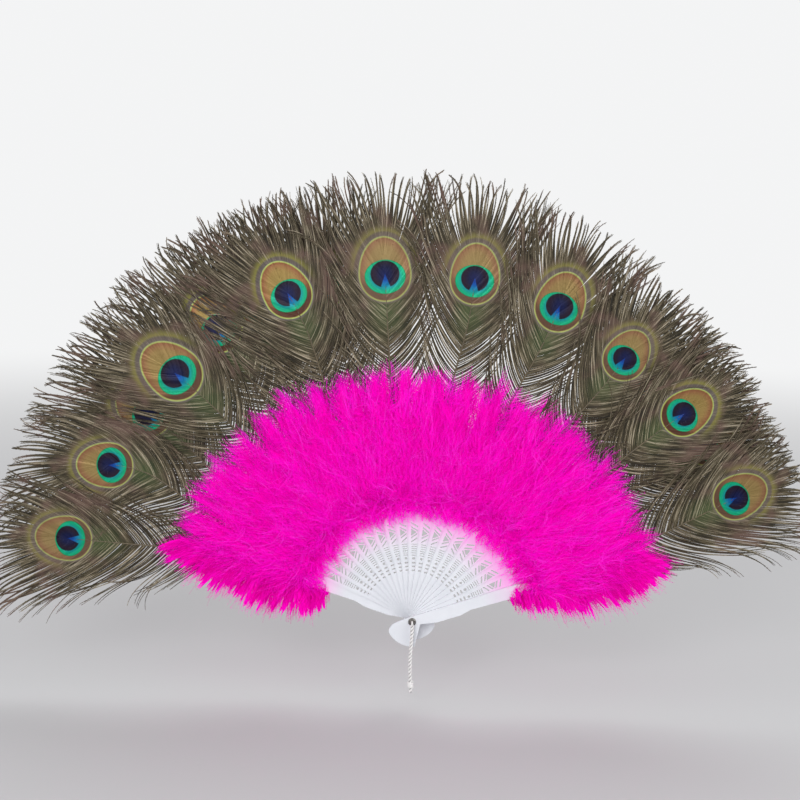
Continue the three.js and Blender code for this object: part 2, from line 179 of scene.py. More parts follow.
def along_lines(lines, station):
    """Points at shares of the way along each line, and the line and step that each one is on."""
    place = station * (lines.shape[1] - 1)
    step = place.astype(int)
    line = np.arange(len(lines))[:, None]
    share = (place - step)[..., None]
    return lines[line, step] * (1 - share) + lines[line, step + 1] * share, (line, step)


def gathered(parts):
    """Joins parts, each (vertices, faces, one or more rows per vertex), into one."""
    offset = 0
    all_faces = []
    for vertices, faces, *_ in parts:
        all_faces.append(np.where(faces < 0, -1, faces + offset))
        offset += len(vertices)
    vertices, _, *rows = (np.concatenate(column) for column in zip(*parts))
    return [vertices, np.concatenate(all_faces), *rows]


TUBE_CLOSED = 0.04  # of the radius is left at a tube's ends


def tube(points, radii, sides):
    """A tube of four-sided faces along points, closed by drawing its ends almost to a point."""
    points = np.asarray(points, float)
    along = unit(np.gradient(points, axis=0))
    radii = np.broadcast_to(np.asarray(radii, float), (len(points),))
    points, along, radii = (np.concatenate([row[:1], row, row[-1:]]) for row in (points, along, radii))
    radii[[0, -1]] *= TUBE_CLOSED
    count = len(points)
    normal = np.cross(along[0], [0.0, 0.0, 1.0])
    if np.linalg.norm(normal) < 0.1:
        normal = np.cross(along[0], [0.0, 1.0, 0.0])
    rings = []
    turns = np.arange(sides) / sides * 2 * math.pi
    for i in range(count):
        normal = unit(normal - along[i] * np.dot(normal, along[i]))
        binormal = np.cross(along[i], normal)
        spokes = np.outer(np.cos(turns), normal) + np.outer(np.sin(turns), binormal)
        rings.append(points[i] + spokes * radii[i])
    vertices = np.concatenate(rings)
    faces = []
    for i in range(count - 1):
        for j in range(sides):
            nxt = (j + 1) % sides
            faces.append((i * sides + j, i * sides + nxt, (i + 1) * sides + nxt, (i + 1) * sides + j))
    return vertices, np.array(faces)


# Materials

def srgb(red, green, blue):
    """A linear colour from 0-255 display values."""
    def linear(value):
        value /= 255
        return value / 12.92 if value <= 0.04045 else ((value + 0.055) / 1.055) ** 2.4
    return (linear(red), linear(green), linear(blue), 1)


class Nodes:
    """The node tree of a material or of the world, with short calls for its nodes."""

    def __init__(self, owner):
        owner.use_nodes = True
        self.tree = owner.node_tree

    def node(self, kind, **settings):
        made = self.tree.nodes.new(kind)
        for key, value in settings.items():
            setattr(made, key, value)
        return made

    def plug(self, value, socket):
        """Links an output to a socket, or sets the socket to a constant."""
        if isinstance(value, bpy.types.NodeSocket):
            self.tree.links.new(value, socket)
        else:
            socket.default_value = value

    def math(self, operation, *values):
        made = self.node("ShaderNodeMath", operation=operation)
        for value, socket in zip(values, made.inputs):
            self.plug(value, socket)
        return made.outputs[0]

    def seen(self):
        """1 for rays that show the plain background: from the camera, mirrored or passed through."""
        rays = self.node("ShaderNodeLightPath").outputs
        either = self.math("MAXIMUM", rays["Is Camera Ray"], rays["Is Glossy Ray"])
        return self.math("MAXIMUM", either, rays["Is Transmission Ray"])

    def show(self, share, first, second, output="Material Output"):
        """Shows a share of the second shader, and of the first what is left."""
        both = self.node("ShaderNodeMixShader")
        for value, socket in zip((share, first, second), both.inputs):
            self.plug(value, socket)
        self.plug(both.outputs[0], self.tree.nodes[output].inputs["Surface"])


class Surface(Nodes):
    """A material with one Principled shader."""

    def __init__(self, name, **values):
        self.material = bpy.data.materials.new(name)
        super().__init__(self.material)
        self.shader = self.tree.nodes["Principled BSDF"]
        for socket, value in values.items():
            self.shader.inputs[socket.replace("_", " ")].default_value = value

    def step(self, value, low, high):
        """0 below low, 1 above high, smooth between."""
        made = self.node("ShaderNodeMapRange", interpolation_type="SMOOTHSTEP")
        self.plug(value, made.inputs["Value"])
        made.inputs["From Min"].default_value = low
        made.inputs["From Max"].default_value = high
        return made.outputs["Result"]

    def mix(self, share, first, second, blend="MIX"):
        made = self.node("ShaderNodeMix", data_type="RGBA", blend_type=blend)
        self.plug(share, made.inputs["Factor"])
        self.plug(first, made.inputs[6])
        self.plug(second, made.inputs[7])
        return made.outputs[2]

    def ramp(self, value, stops):
        made = self.node("ShaderNodeValToRGB")
        elements = made.color_ramp.elements
        while len(elements) < len(stops):
            elements.new(1)
        for element, (place, colour) in zip(elements, stops):
            element.position = place
            element.color = colour
        self.plug(value, made.inputs["Fac"])
        return made.outputs["Color"]

    def noise(self, vector, scale, detail=3, roughness=0.5):
        made = self.node("ShaderNodeTexNoise")
        self.plug(vector, made.inputs["Vector"])
        made.inputs["Scale"].default_value = scale
        made.inputs["Detail"].default_value = detail
        made.inputs["Roughness"].default_value = roughness
        return made.outputs["Fac"]

    def scaled(self, x, y, scales):
        """A flat vector from two values times their scales."""
        made = self.node("ShaderNodeCombineXYZ")
        for value, scale, socket in zip((x, y), scales, made.inputs):
            self.plug(self.math("MULTIPLY", value, scale), socket)
        return made.outputs[0]

    def split(self, vector):
        """The X, Y and Z of a vector."""
        made = self.node("ShaderNodeSeparateXYZ")
        self.plug(vector, made.inputs[0])
        return made.outputs

    def uv(self, name="OFBake"):
        return self.split(self.node("ShaderNodeUVMap", uv_map=name).outputs[0])[:2]

    def place(self):
        """The point on the object, in metres."""
        return self.node("ShaderNodeTexCoord").outputs["Object"]

    def distance(self, point):
        """How far a point is from the object's origin."""
        made = self.node("ShaderNodeVectorMath", operation="LENGTH")
        self.plug(point, made.inputs[0])
        return made.outputs["Value"]

    def bump(self, height, strength, distance):
        made = self.node("ShaderNodeBump")
        made.inputs["Strength"].default_value = strength
        made.inputs["Distance"].default_value = distance
        self.plug(height, made.inputs["Height"])
        self.plug(made.outputs[0], self.shader.inputs["Normal"])

    def colour(self, value):
        self.plug(value, self.shader.inputs["Base Color"])

    def see_through(self, share, colour):
        """Lets a share of the light pass to the other side of a thin sheet."""
        thin = self.node("ShaderNodeBsdfTranslucent")
        self.plug(colour, thin.inputs["Color"])
        self.show(share, self.shader.outputs[0], thin.outputs[0])

    def roughness(self, value):
        self.plug(value, self.shader.inputs["Roughness"])


DYE_RUN = (70 * MM, 108 * MM)  # from the rivet, where the down's dye starts to tint the sticks and is full
DYE_SHARE = 0.74
CLEAN_FRONT = (-10.4 * MM, -10.8 * MM)  # depths: the front guard takes less dye than the sticks behind it
CLEAN_SHARE = 0.72
DYE_DEEP = (118 * MM, 136 * MM)  # from the rivet, under the down
DYE_DEEP_SHARE = 0.9


def plastic_material():
    """Milky moulded plastic: faint clouds, a soft waviness, and dye from the down on the sticks' ends."""
    s = Surface("milky_plastic", IOR=1.49)
    place = s.place()
    cloud = s.noise(place, 45, 4)
    grain = s.noise(place, 900, 2)
    milky = s.mix(cloud, srgb(186, 189, 196), srgb(205, 207, 212))
    radius = s.distance(place)
    spared = s.step(s.split(place)["Y"], *CLEAN_FRONT)
    taken = s.math("MULTIPLY_ADD", spared, -CLEAN_SHARE * DYE_SHARE, DYE_SHARE)
    stain = s.math("MULTIPLY", s.step(radius, *DYE_RUN), taken)
    stained = s.mix(stain, milky, srgb(226, 128, 206))
    deep = s.math("MULTIPLY", s.step(radius, *DYE_DEEP), DYE_DEEP_SHARE)
    s.colour(s.mix(deep, stained, srgb(228, 8, 176)))
    s.roughness(s.math("MULTIPLY_ADD", grain, 0.16, 0.26))
    s.bump(s.math("MULTIPLY_ADD", cloud, 1.0, s.math("MULTIPLY", grain, 0.15)), 0.3, 0.0006)
    return s.material


def metal_material():
    """Dull plated steel, a little clouded and grainy."""
    s = Surface("plated_steel", Metallic=1.0)
    place = s.place()
    cloud = s.noise(place, 400, 4)
    grain = s.noise(place, 4000, 2)
    s.colour(s.mix(cloud, srgb(78, 76, 74), srgb(124, 121, 117)))
    s.roughness(s.math("MULTIPLY_ADD", grain, 0.2, 0.25))
    s.bump(grain, 0.2, 0.00005)
    return s.material


YARN_SCALE = (60, 22)  # of the fibres along a ply and across it
GROOVE_SHADE = (0.45, 0.8)  # shares of the cord's radius between which the painted shade in the grooves between the plies gives way to their light yarn


def cord_material():
    """White spun yarn, with painted shade in the grooves between its plies. U runs along a ply, V is the
    distance from the cord's middle.
    """
    s = Surface("white_yarn", Roughness=0.85, Sheen_Weight=0.25)
    along, outward = s.uv()
    fibres = s.noise(s.scaled(along, outward, YARN_SCALE), 3, 3)
    yarn = s.mix(fibres, srgb(186, 185, 186), srgb(222, 221, 219))
    # painted shade: dark where the plies face the cord's middle and each other
    s.colour(s.mix(s.step(outward, *GROOVE_SHADE), srgb(104, 101, 102), yarn))
    s.bump(fibres, 0.5, 0.0003)
    return s.material


DOWN_PASSES = 0.4  # share of the light that goes through a barb


def marabou_material():
    """Dyed down, with painted shade towards the barbs' roots. U runs from a barb's root to its tip, V is the
    barb's own tone.
    """
    s = Surface("dyed_marabou", Roughness=0.7, Specular_IOR_Level=0.05)
    along, tone = s.uv()
    dye = s.ramp(tone, [
        (0.0, srgb(216, 0, 160)), (0.35, srgb(255, 0, 210)),
        (0.65, srgb(255, 8, 230)), (1.0, srgb(255, 74, 244)),
    ])
    # painted shade: the barbs darken towards their roots, deep in the down
    root = s.ramp(along, [(0.0, (0.86, 0.86, 0.84, 1)), (0.3, (1, 1, 1, 1))])
    dyed = s.mix(1.0, dye, root, "MULTIPLY")
    s.colour(dyed)
    s.see_through(DOWN_PASSES, dyed)
    return s.material


PLANE_WIDTH = 200 * MM
PLANE_HEIGHT = 340 * MM
STREAK_SCALE = (320, 2.5)  # over all the barbs and along each
PATCH_SCALE = (0.03, 0.03)  # per mm
EGG = (-1.8, 24.8, 36.6, 25.4)  # mm: the middle's height, half the width, height above and below the middle
DISC = (-3.2, 20.3, 16.3, 17.5)
HEART = (-0.8, 14.4, 13, 13.6)
HALO_BROKEN = 0.34  # share of plain barb that shows in the band outside the ring
RING_RANGE = 64  # mm across the egg's edge that the ring's colours are laid over
NOTCH_TOP = -1.5  # mm, the point of the notch in the eye's heart
NOTCH_SLOPE = 0.36


def ring_place(distance):
    """Where a distance in mm from the egg's edge lies on the colour ramp."""
    return 0.5 + distance / RING_RANGE


def peacock_material():
    """An eye feather painted in its own plane, in mm from the middle of the eye's dark heart."""
    s = Surface("peacock_barbs", Specular_IOR_Level=0.2)
    along, barb_id = s.uv()
    u, v = s.uv("plane")
    x = s.math("MULTIPLY", s.math("SUBTRACT", u, 0.5), PLANE_WIDTH / MM)
    y = s.math("MULTIPLY", s.math("SUBTRACT", v, 0.5), PLANE_HEIGHT / MM)
    away = s.math("ABSOLUTE", x)
    streak = s.noise(s.scaled(barb_id, along, STREAK_SCALE), 1, 3, 0.7)
    patch = s.noise(s.scaled(x, y, PATCH_SCALE), 1, 2)
    wavy = s.math("MULTIPLY", s.math("SUBTRACT", streak, 0.5), 0.1)

    def length(first, second):
        square = s.math("ADD", s.math("MULTIPLY", first, first), s.math("MULTIPLY", second, second))
        return s.math("SQRT", square)

    def oval(centre, half_width, above, under):
        """1 on the edge of an egg of two half ovals, and the distance from that edge in mm."""
        rise = s.math("SUBTRACT", y, centre)
        across = s.math("DIVIDE", x, half_width)
        up = s.math("MAXIMUM", s.math("DIVIDE", rise, above), s.math("DIVIDE", rise, -under))
        slope = s.math("MAXIMUM", s.math("DIVIDE", rise, above ** 2), s.math("DIVIDE", rise, -under ** 2))
        share = length(across, up)
        steepness = length(s.math("DIVIDE", across, half_width), slope)
        beyond = s.math("MULTIPLY", s.math("SUBTRACT", share, 1), s.math("DIVIDE", share, steepness))
        return share, beyond

    egg, beyond = oval(*EGG)
    disc, _ = oval(*DISC)
    heart, _ = oval(*HEART)
    barb = s.ramp(streak, [
        (0.37, srgb(20, 17, 9)), (0.47, srgb(46, 40, 26)),
        (0.54, srgb(78, 70, 52)), (0.64, srgb(142, 132, 114)),
    ])
    dusk = s.mix(s.math("MULTIPLY", s.step(patch, 0.45, 0.68), 0.54), barb, srgb(98, 74, 68))
    bare = s.ramp(streak, [
        (0.42, srgb(24, 19, 11)), (0.5, srgb(50, 42, 27)),
        (0.56, srgb(84, 75, 57)), (0.64, srgb(150, 139, 120)),
    ])
    dusk = s.mix(s.math("MULTIPLY", s.step(y, -36, -78), 0.85), dusk, bare)
    below = s.math("MULTIPLY", s.step(y, -78, -34), s.step(y, 12, -10))
    below = s.math("MULTIPLY", s.step(away, 26, 2), below)
    plain = s.mix(s.math("MULTIPLY", below, 0.28), dusk, srgb(72, 100, 54))
    edge = s.math("MULTIPLY_ADD", wavy, 6, beyond)
    ring = s.ramp(s.math("MULTIPLY_ADD", edge, 1 / RING_RANGE, 0.5), [
        (ring_place(-30), srgb(120, 106, 54)), (ring_place(-8), srgb(124, 101, 55)),
        (ring_place(-3.5), srgb(120, 84, 50)), (ring_place(-0.6), srgb(110, 66, 42)),
        (ring_place(0.1), srgb(138, 142, 66)), (ring_place(1.0), srgb(140, 153, 90)),
        (ring_place(1.7), srgb(90, 82, 80)), (ring_place(5.0), srgb(86, 78, 76)),
        (ring_place(7.2), srgb(122, 119, 52)), (ring_place(14), srgb(84, 79, 48)),
    ])
    sunk = s.math("MULTIPLY", s.step(y, 4, -15), s.step(beyond, 0.2, -0.8))
    ring = s.mix(sunk, ring, srgb(66, 36, 23))
    own = s.node("ShaderNodeObjectInfo").outputs["Random"]
    ring = s.mix(s.math("MULTIPLY", own, 0.4), ring, srgb(112, 96, 76))
    ragged = s.math("MULTIPLY_ADD", wavy, 240, beyond)
    halo = s.math("MULTIPLY", s.step(ragged, 14, 7), s.step(y, -8, 24))
    outside = s.math("MULTIPLY_ADD", s.step(beyond, 1.1, 2.2), -HALO_BROKEN, 1)
    halo = s.math("MULTIPLY", s.math("MAXIMUM", halo, s.step(beyond, 4.0, 2.2)), outside)
    painted = s.mix(halo, plain, ring)
    teal = s.ramp(disc, [
        (0.0, srgb(0, 40, 116)), (0.25, srgb(0, 64, 134)), (0.5, srgb(0, 96, 132)),
        (0.68, srgb(0, 118, 120)), (0.82, srgb(0, 134, 104)), (0.95, srgb(0, 140, 96)),
        (1.0, srgb(0, 92, 60)),
    ])
    painted = s.mix(s.step(disc, 1.02, 0.98), painted, teal)
    notch = s.math("MULTIPLY_ADD", s.math("SUBTRACT", NOTCH_TOP, y), -NOTCH_SLOPE, away)
    navy = s.ramp(heart, [
        (0.0, srgb(2, 12, 60)), (0.5, srgb(5, 10, 46)), (0.85, srgb(15, 5, 26)), (1.0, srgb(3, 3, 10)),
    ])
    navy = s.mix(s.math("MULTIPLY", s.step(away, 4, 11), 0.7), navy, srgb(22, 8, 28))
    in_heart = s.math("MULTIPLY", s.step(heart, 1.03, 0.96), s.step(notch, -0.4, 0.8))
    painted = s.mix(in_heart, painted, navy)
    s.colour(painted)
    s.plug(s.math("MULTIPLY", s.step(egg, 1.1, 0.95), 0.3), s.shader.inputs["Metallic"])
    s.roughness(s.math("MULTIPLY_ADD", s.step(egg, 0.95, 1.2), 0.25, 0.4))
    return s.material


def quill_material():
    """Horny feather shaft: tan with brown mottling."""
    s = Surface("feather_shaft", Roughness=0.42)
    place = s.place()
    mottle = s.noise(place, 120, 4)
    s.colour(s.mix(mottle, srgb(46, 37, 23), srgb(94, 80, 54)))
    s.bump(mottle, 0.2, 0.0002)
    return s.material


PLASTIC = plastic_material()
METAL = metal_material()
YARN = cord_material()
MARABOU = marabou_material()
PEACOCK = peacock_material()
QUILL = quill_material()


# Marabou down: locks of fine barbs on the shafts of several plumes per stick

MARABOU_SEED = 400
BARBS_PER_LOCK = 5
LOCK_STEPS = 6
BARB_WIDTH = 0.42 * MM
BARB_HAIRS = 12
HAIR_LENGTH = 2.3 * MM
HAIR_WIDTH = 0.42 * MM
LOCK_SPREAD = 2.6 * MM
SHAFT_RANKS = (
    # share of the reach, sideways share of the step at the tip, depth at the tip, lock length
    (1.00, -0.22, 2.5 * MM, 44 * MM),
    (0.98, 0.42, 4.0 * MM, 44 * MM),
    (0.90, -0.62, 5.0 * MM, 42 * MM),
    (0.80, 0.68, 5.5 * MM, 40 * MM),
    (0.66, 0.00, 6.0 * MM, 36 * MM),
)
BACK_DEPTH = 0.75  # of those depths
LOCKS_PER_SHAFT = 52
SPREAD_PLACES = (0, 0.4, 0.8, 1)  # of a shaft's length
SPREADS = (58, 46, 30, 8)  # degrees between a lock and the shaft
TIP_LOCKS = 16
TIP_LOCKS_FROM = 0.86  # of a shaft's length
TUFTS_FROM = 0.84  # of a shaft's length
TUFT_LOOSE = 0.45
TIP_LOCK = 24 * MM
CORE_RIBBONS = 3
CORE_STEPS = 9
CORE_SPAN = (-0.05, 0.95)  # of the shaft's length
CORE_PLACES = (-0.05, 0.08, 0.25, 0.75, 1)
CORE_PROFILE = (0.6, 0.95, 1, 0.8, 0.1)  # of the width, at those places
CORE_WIDTH = 12 * MM
CORE_SPREAD = 1.5 * MM
CORE_DEPTH = 0.6  # of the shaft's own depth
WISP_LOCKS = 44
WISP_LENGTHS = (20, 34)  # mm
FRINGE_LOCKS = 20
FRINGE_LENGTHS = (15, 26)  # mm
HAZE_LOCKS = 24
HAZE_LENGTHS = (9, 28)  # mm
GUARD_FRINGE = 0.55  # of those lengths, on the front guard's face
CROWN_LOCKS = 22
CROWN_ROOTS = (34, 70)  # mm inside the down's reach
CROWN_TIPS = (4, 20)  # mm inside it
DOWN_FRONT = 22 * MM
DOWN_BACK = 18 * MM
DROOP_PLACES = (0, 0.12, 0.4, 0.7, 1)  # shares of the way out to the tip
DROOPS = {
    # side of the guard, where it begins, lock lengths and angles from the stick at those places
    0: (-1, 90 * MM, np.array([12, 45, 53, 50, 38]) * MM, np.radians([120, 104, 86, 62, 24])),
    LAST_STICK: (1, 103 * MM, np.array([10, 28, 52, 56, 40]) * MM, np.radians([104, 94, 78, 60, 26])),
}
DROOP_END = 244 * MM
# painted shade: the hanging locks get darker tones, for the shade on the fan's lower fringe
DROOP_PAINTED_SHADE = -0.32
DROOP_LOCKS = 380
DROOP_CORE_EVERY = 4
DROOP_CORE_SHARE = 0.86
DROOP_CORE_WIDTH = 3 * MM


def lock_ribbons(rng, root, heading, pull, length, face, loose, shade=0):
    """Ribbons for locks: each starts at root along heading and bends by pull over its length.

    A lock that is loose by 1 spreads its barbs, and one by 0 is a pointed tuft.
    """
    count = len(root)
    u = np.linspace(0, 1, LOCK_STEPS + 1)
    mid = ((u[1:] + u[:-1]) / 2)[:, None]
    shape = (count, BARBS_PER_LOCK)
    face = np.broadcast_to(face, (count,))[:, None]
    loose = np.broadcast_to(loose, (count,))[:, None, None]
    barb_heading = heading[:, None] + rng.normal(0, 0.2, shape + (3,)) * loose
    sway = rng.normal(0, 0.34, (count, 1, 1, 3)) * np.sin(
        2 * math.pi * (rng.uniform(0.4, 0.9, (count, 1, 1, 1)) * mid + rng.random((count, 1, 1, 1)))
    )
    frizz = loose[..., None] * rng.normal(0, 0.2, shape + (1, 3)) * np.sin(
        2 * math.pi * (rng.uniform(0.6, 1.6, shape + (1, 1)) * mid + rng.random(shape + (1, 1)))
    )
    along = unit(barb_heading[:, :, None] + pull[:, None, None] * mid + sway + frizz)
    barb_length = length[:, None] * (1.06 - (0.16 + 0.35 * loose[..., 0]) * rng.random(shape))
    run = np.cumsum(along, axis=2) * (barb_length / LOCK_STEPS)[..., None, None]
    run = np.concatenate([np.zeros(shape + (1, 3)), run], axis=2)
    narrowing = 1 - u * (1 - 0.5 * loose)
    offset = rng.normal(0, LOCK_SPREAD, shape + (1, 3)) * narrowing[..., None]
    points = root[:, None, None] + offset + run
    along = np.concatenate([along, along[:, :, -1:]], axis=2)
    lean = rng.normal(0, 0.55, shape + (3,))
    lean[..., 1] += face
    sides = unit(np.cross(along, lean[:, :, None]))
    widths = BARB_WIDTH * (1 - 0.8 * u ** 1.4)[None, None] * rng.uniform(0.75, 1.2, shape + (1,))
    # shade lowers a group's tones: painted shade, used on the hanging locks
    tone = 0.5 + shade + rng.normal(0, 0.2, (count, 1)) + rng.normal(0, 0.06, shape)
    tone = np.clip(tone, 0.03, 0.97).reshape(-1)
    barbs = count * BARBS_PER_LOCK
    steps = LOCK_STEPS + 1
    corners, faces = strips(
        points.reshape(barbs, steps, 3), sides.reshape(barbs, steps, 3), widths.reshape(barbs, steps)
    )
    uv = np.empty((barbs, steps, 2, 2))
    uv[..., 0] = (0.02 + 0.96 * u)[None, :, None]
    uv[..., 1] = tone[:, None, None] + np.array([-0.01, 0.01])
    ribbons = corners.reshape(-1, 3), faces, uv.reshape(-1, 2)
    lines = points.reshape(barbs, steps, 3)
    return gathered([ribbons, barb_hairs(rng, lines, along.reshape(barbs, steps, 3), tone)])


def barb_hairs(rng, lines, along, tone):
    """Fine hairs on both sides of every barb, which make its edge soft."""
    barbs = len(lines)
    station = (np.arange(BARB_HAIRS) + rng.random((barbs, BARB_HAIRS))) / BARB_HAIRS
    station = np.clip(station ** 0.85, 0.03, 0.97)
    bases, on = along_lines(lines, station)
    heading = unit(along[on] * 0.75 + rng.normal(0, 0.5, bases.shape))
    length = HAIR_LENGTH * rng.uniform(0.6, 1.15, station.shape) * (1 - 0.35 * station)
    tips = bases + heading * length[..., None]
    widths = np.full(barbs * BARB_HAIRS, HAIR_WIDTH)
    lean = rng.normal(0, 1, (barbs * BARB_HAIRS, 3)) + np.array([0, 1.5, 0])
    corners, faces = hairs(bases.reshape(-1, 3), tips.reshape(-1, 3), widths, lean)
    uv = np.empty((barbs, BARB_HAIRS, 3, 2))
    uv[..., 0] = station[..., None] + np.array([-0.01, -0.01, 0.01])
    uv[..., 1] = tone[:, None, None] + np.array([-0.01, 0.01, 0])
    return corners, faces, uv.reshape(-1, 2)


def shaft_curve(rng, stick, reach, sideways, depth, face):
    """Start, belly and tip of one plume's shaft."""
    tip_radius = reach * (DOWN_REACH + rng.normal(0, 6 * MM)) - TIP_LOCK
    start_radius = down_start(stick, face) + rng.uniform(0, 10 * MM)
    half_step = tip_radius * math.tan(STEP_ANGLE / 2)
    start = np.array([rng.uniform(-3, 3) * MM, face * 2.0 * MM, start_radius])
    tip = np.array([
        sideways * 2 * half_step + rng.normal(0, 2.5 * MM),
        face * depth + rng.normal(0, 0.8 * MM), tip_radius,
    ])
    belly = (start + tip) / 2 + np.array([rng.normal(0, 3 * MM), face * 2.5 * MM, 0])
    return start, belly, tip


def on_curve(curve, t):
    """Points and directions on a shaft's curve."""
    start, belly, tip = curve
    w = t[:, None]
    points = (1 - w) ** 2 * start + 2 * w * (1 - w) * belly + w ** 2 * tip
    return points, unit(2 * (1 - w) * (belly - start) + 2 * w * (tip - belly))


def shaft_core(rng, curve, face, width=CORE_WIDTH):
    """The close down next to the shaft: ribbons crossed under the locks, so that no light shows through."""
    t = np.linspace(*CORE_SPAN, CORE_STEPS)
    points, axis = on_curve(curve, t)
    points[:, 1] *= CORE_DEPTH
    lean = rng.normal(0, 0.3, (CORE_RIBBONS, 1, 3)) + np.array([0, face, 0])
    sides = unit(np.cross(np.broadcast_to(axis, (CORE_RIBBONS, CORE_STEPS, 3)), lean))
    widths = width * np.interp(t, CORE_PLACES, CORE_PROFILE)
    widths = np.broadcast_to(widths, (CORE_RIBBONS, CORE_STEPS))
    lines = points + rng.normal(0, CORE_SPREAD, (CORE_RIBBONS, 1, 3)) * np.array([1, 0.2, 1])
    corners, faces = strips(lines, sides, widths)
    uv = np.empty(corners.shape[:3] + (2,))
    uv[..., 0] = (0.1 + 0.8 * t)[None, :, None]
    uv[..., 1] = rng.uniform(0.25, 0.5, (CORE_RIBBONS, 1, 1)) + np.array([-0.02, 0.02])
    return corners.reshape(-1, 3), faces, uv.reshape(-1, 2)


def shaft_locks(rng, stick, curve, lock_length, face):
    """Locks along one plume's shaft, which close to a pointed tip."""
    t = np.sort(rng.random(LOCKS_PER_SHAFT)) ** 0.75
    t[-TIP_LOCKS:] = np.linspace(TIP_LOCKS_FROM, 1, TIP_LOCKS)
    root, axis = on_curve(curve, t)
    spread = np.radians(np.interp(t, SPREAD_PLACES, SPREADS)) * rng.uniform(0.5, 1.2, len(t))
    swing = rng.uniform(-0.12, 1.12, len(t)) * math.pi
    outward = xyz(np.cos(swing), face * 0.4 * np.sin(swing), 0)
    heading = axis * np.cos(spread)[:, None] + outward * np.sin(spread)[:, None]
    length = lock_length * (1 - 0.36 * t ** 2) * rng.uniform(0.8, 1.12, len(t))
    pull = axis * 0.75 + gravity(stick) * 0.22
    loose = np.where(t > TUFTS_FROM, TUFT_LOOSE, 1)
    return root, heading, pull, length, face, loose


def gravity(stick):
    """Straight down, in the leaf's own frame."""
    turn = leaf_turn(stick)
    return np.array([math.sin(turn), 0, -math.cos(turn)])


def down_start(stick, face):
    """Where the down begins; the front of the front guard stays bare for longer."""
    if stick == LAST_STICK and face < 0:
        return GUARD_BARE
    return np.interp(stick, (0, LAST_STICK), DOWN_STARTS)


def wisp_locks(rng, stick, face):
    """Loose down over the plumes' faces, curling every way."""
    radius = rng.uniform(down_start(stick, face) + 10 * MM, 0.88 * DOWN_REACH, WISP_LOCKS)
    root = xyz(
        rng.uniform(-1.1, 1.1, WISP_LOCKS) * radius * math.tan(STEP_ANGLE / 2),
        face * rng.uniform(4, 9, WISP_LOCKS) * MM,
        radius,
    )
    turn = rng.normal(0, 0.95, WISP_LOCKS)
    heading = xyz(np.sin(turn), face * rng.uniform(0.05, 0.45, WISP_LOCKS), np.cos(turn))
    bend = rng.normal(0, 0.8, WISP_LOCKS)
    pull = xyz(bend * np.cos(turn), -0.25 * face, -bend * np.sin(turn))
    pull += gravity(stick) * 0.15
    length = rng.uniform(*WISP_LENGTHS, WISP_LOCKS) * MM
    return root, unit(heading), pull, length, face, 1


def fringe_locks(rng, stick, face):
    """Short down round the foot of the plumes, and a thin haze over the blades' ends."""
    count = FRINGE_LOCKS + HAZE_LOCKS
    haze = np.arange(count) >= FRINGE_LOCKS
    foot = np.where(haze, rng.uniform(-4, 4, count), rng.uniform(0, 12, count)) * MM
    root = xyz(
        rng.uniform(-6, 6, count) * MM,
        face * rng.uniform(1.5, 4.5, count) * MM,
        down_start(stick, face) + foot,
    )
    turn = np.where(
        haze, math.pi + rng.normal(0, 0.7, count), rng.choice([-1, 1], count) * rng.uniform(0.5, 1.5, count)
    )
    heading = xyz(np.sin(turn), face * rng.uniform(0.1, 0.4, count), np.cos(turn))
    length = np.where(haze, rng.uniform(*HAZE_LENGTHS, count), rng.uniform(*FRINGE_LENGTHS, count)) * MM
    if stick == LAST_STICK and face < 0:
        length *= GUARD_FRINGE
    pull = gravity(stick)[None] * 0.3 + np.array([0, 0, 0.35]) * (~haze)[:, None]
    return root, unit(heading), pull, length, face, 1


def crown_locks(rng, stick, face):
    """Down that closes the gaps between the tips of the plumes."""
    radius = DOWN_REACH - rng.uniform(*CROWN_ROOTS, CROWN_LOCKS) * MM
    place = rng.uniform(-0.5, 0.5, CROWN_LOCKS) * STEP_ANGLE
    root = xyz(
        radius * np.sin(place), face * rng.uniform(0.5, 3, CROWN_LOCKS) * MM, radius * np.cos(place)
    )
    turn = place + rng.normal(0, 0.14, CROWN_LOCKS)
    heading = xyz(np.sin(turn), face * rng.uniform(0, 0.12, CROWN_LOCKS), np.cos(turn))
    length = DOWN_REACH - rng.uniform(*CROWN_TIPS, CROWN_LOCKS) * MM - radius
    return root, unit(heading), heading * 0.4, length, face, TUFT_LOOSE


def droop_locks(rng, stick):
    """Long down that hangs outside a guard."""
    side, begin, lengths, angles = DROOPS[stick]
    t = np.sort(rng.random(DROOP_LOCKS)) ** 0.9
    radius = begin + t * (DROOP_END - begin)
    face = rng.choice([-1.0, 1.0], DROOP_LOCKS)
    root = xyz(
        side * rng.uniform(0, 9, DROOP_LOCKS) * MM, face * rng.uniform(0.5, 6, DROOP_LOCKS) * MM, radius
    )
    angle = np.interp(t, DROOP_PLACES, angles) * rng.uniform(0.72, 1.08, DROOP_LOCKS)
    heading = xyz(side * np.sin(angle), face * rng.uniform(0, 0.22, DROOP_LOCKS), np.cos(angle))
    length = np.interp(t, DROOP_PLACES, lengths) * rng.uniform(0.68, 1.03, DROOP_LOCKS)
    pull = np.broadcast_to(gravity(stick) * 0.3, (DROOP_LOCKS, 3))
    return root, unit(heading), pull, length, face, TUFT_LOOSE


def droop_cores(rng, locks):
    """The close down under some of the hanging locks."""
    parts = []
    for root, heading, pull, length, face in list(zip(*locks[:5]))[::DROOP_CORE_EVERY]:
        run = length * DROOP_CORE_SHARE
        curve = (root, root + heading * run / 2, root + unit(heading + pull / 2) * run)
        parts.append(shaft_core(rng, curve, face, DROOP_CORE_WIDTH))
    return parts


